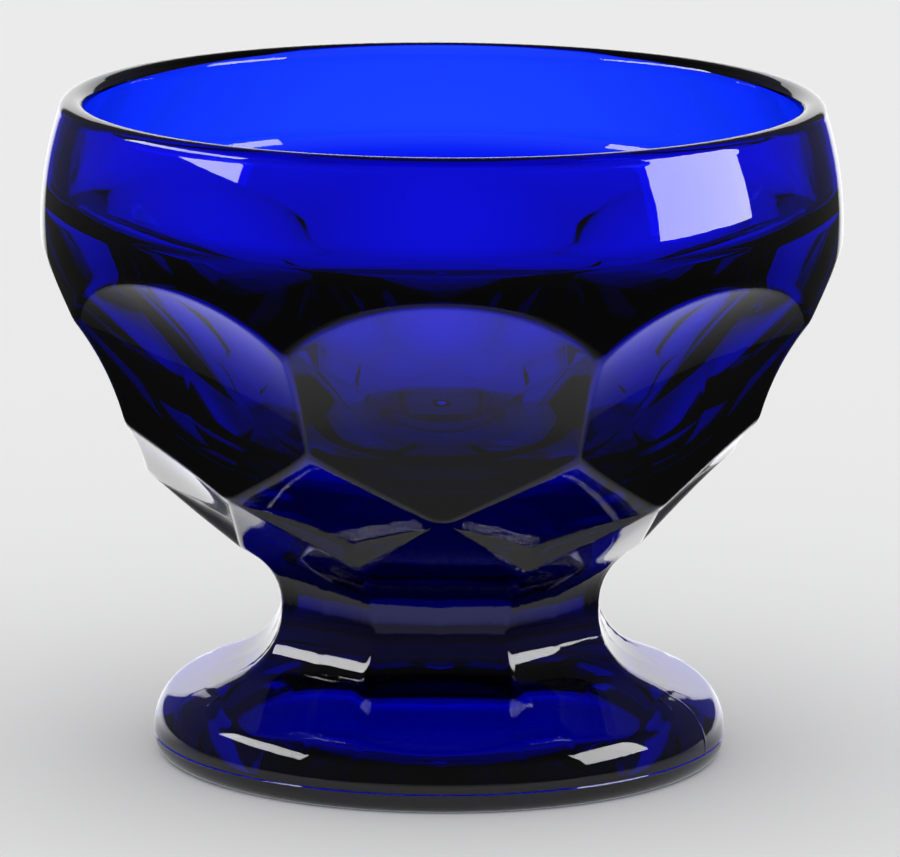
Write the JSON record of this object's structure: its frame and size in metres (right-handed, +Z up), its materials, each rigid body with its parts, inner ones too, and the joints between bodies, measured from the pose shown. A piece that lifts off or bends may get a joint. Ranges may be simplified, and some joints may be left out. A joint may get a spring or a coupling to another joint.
{
  "type": "footed sherbet glass",
  "caption": "Low footed dessert glass of pressed blue glass: a round bowl with a plain band over thumbprints and diamonds, a faceted neck and a round foot.",
  "frame": {"origin": "on the table, under the middle of the foot", "axes": "+Z up along the axis of the glass; a thumbprint and a neck panel face -Y"},
  "size_m": [0.0904, 0.0904, 0.075],
  "materials": {
    "blue_glass": "fire-polished pressed cobalt-blue glass"
  },
  "bodies": {
    "root": {"bowl": "blue_glass", "stem": "blue_glass", "foot": "blue_glass"}
  },
  "joints": []
}
